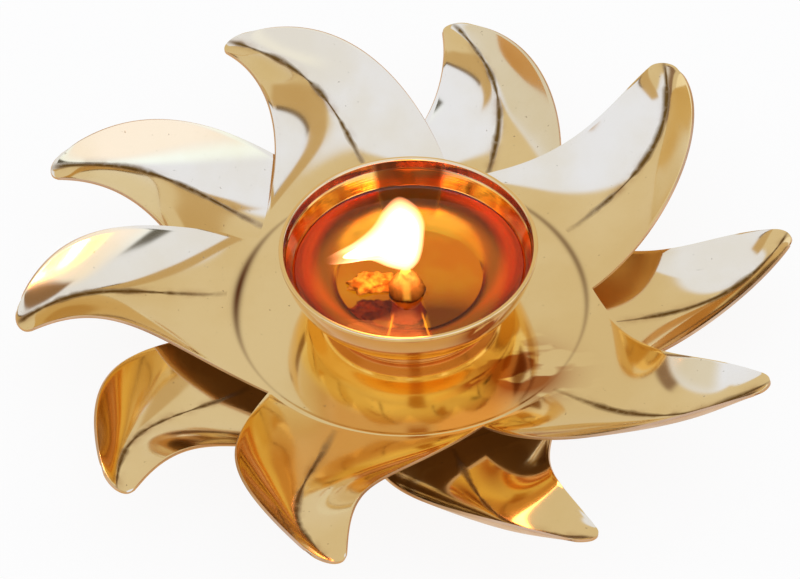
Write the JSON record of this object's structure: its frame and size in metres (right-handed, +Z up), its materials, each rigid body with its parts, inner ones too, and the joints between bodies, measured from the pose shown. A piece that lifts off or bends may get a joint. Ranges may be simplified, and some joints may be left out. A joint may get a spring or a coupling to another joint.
{
  "type": "flower diya oil lamp",
  "caption": "Flower diya: a turned brass oil bowl with a lit cotton wick, standing on layered brass plates of swept, creased petals.",
  "frame": {"origin": "centre of the flat underside of the turned base, where the lamp stands", "axes": "+Z up through the stud and the bowl's centre, -Y towards the viewer of the picture, +X to the right"},
  "size_m": [0.1803, 0.1785, 0.0522],
  "materials": {
    "polished_brass": "mirror polished, with turning marks and some tarnish in the creases",
    "plain_brass": "turned, unpolished",
    "cotton": "hand-rolled cotton soaked in oil",
    "lamp_oil": "clear amber liquid",
    "flame": "glowing"
  },
  "bodies": {
    "lamp": {"base": "polished_brass", "stud": "plain_brass", "lower_petals": "polished_brass", "spacer": "plain_brass", "bowl_foot": "polished_brass", "bowl": "polished_brass", "oil": "lamp_oil"},
    "upper_petals": {"upper_petals": "polished_brass"},
    "wick": {"wick": "cotton", "flame": "flame"}
  },
  "joints": [
    {"name": "upper_petals_turn", "type": "hinge", "parent": "lamp", "child": "upper_petals", "pos_m": [0, 0, 0.0107], "axis": [0, 0, 1], "range_deg": [-3, 3]},
    {"name": "wick_lift", "type": "slide", "parent": "lamp", "child": "wick", "axis": [0, 0, 1], "range_m": [0, 0.05]}
  ]
}
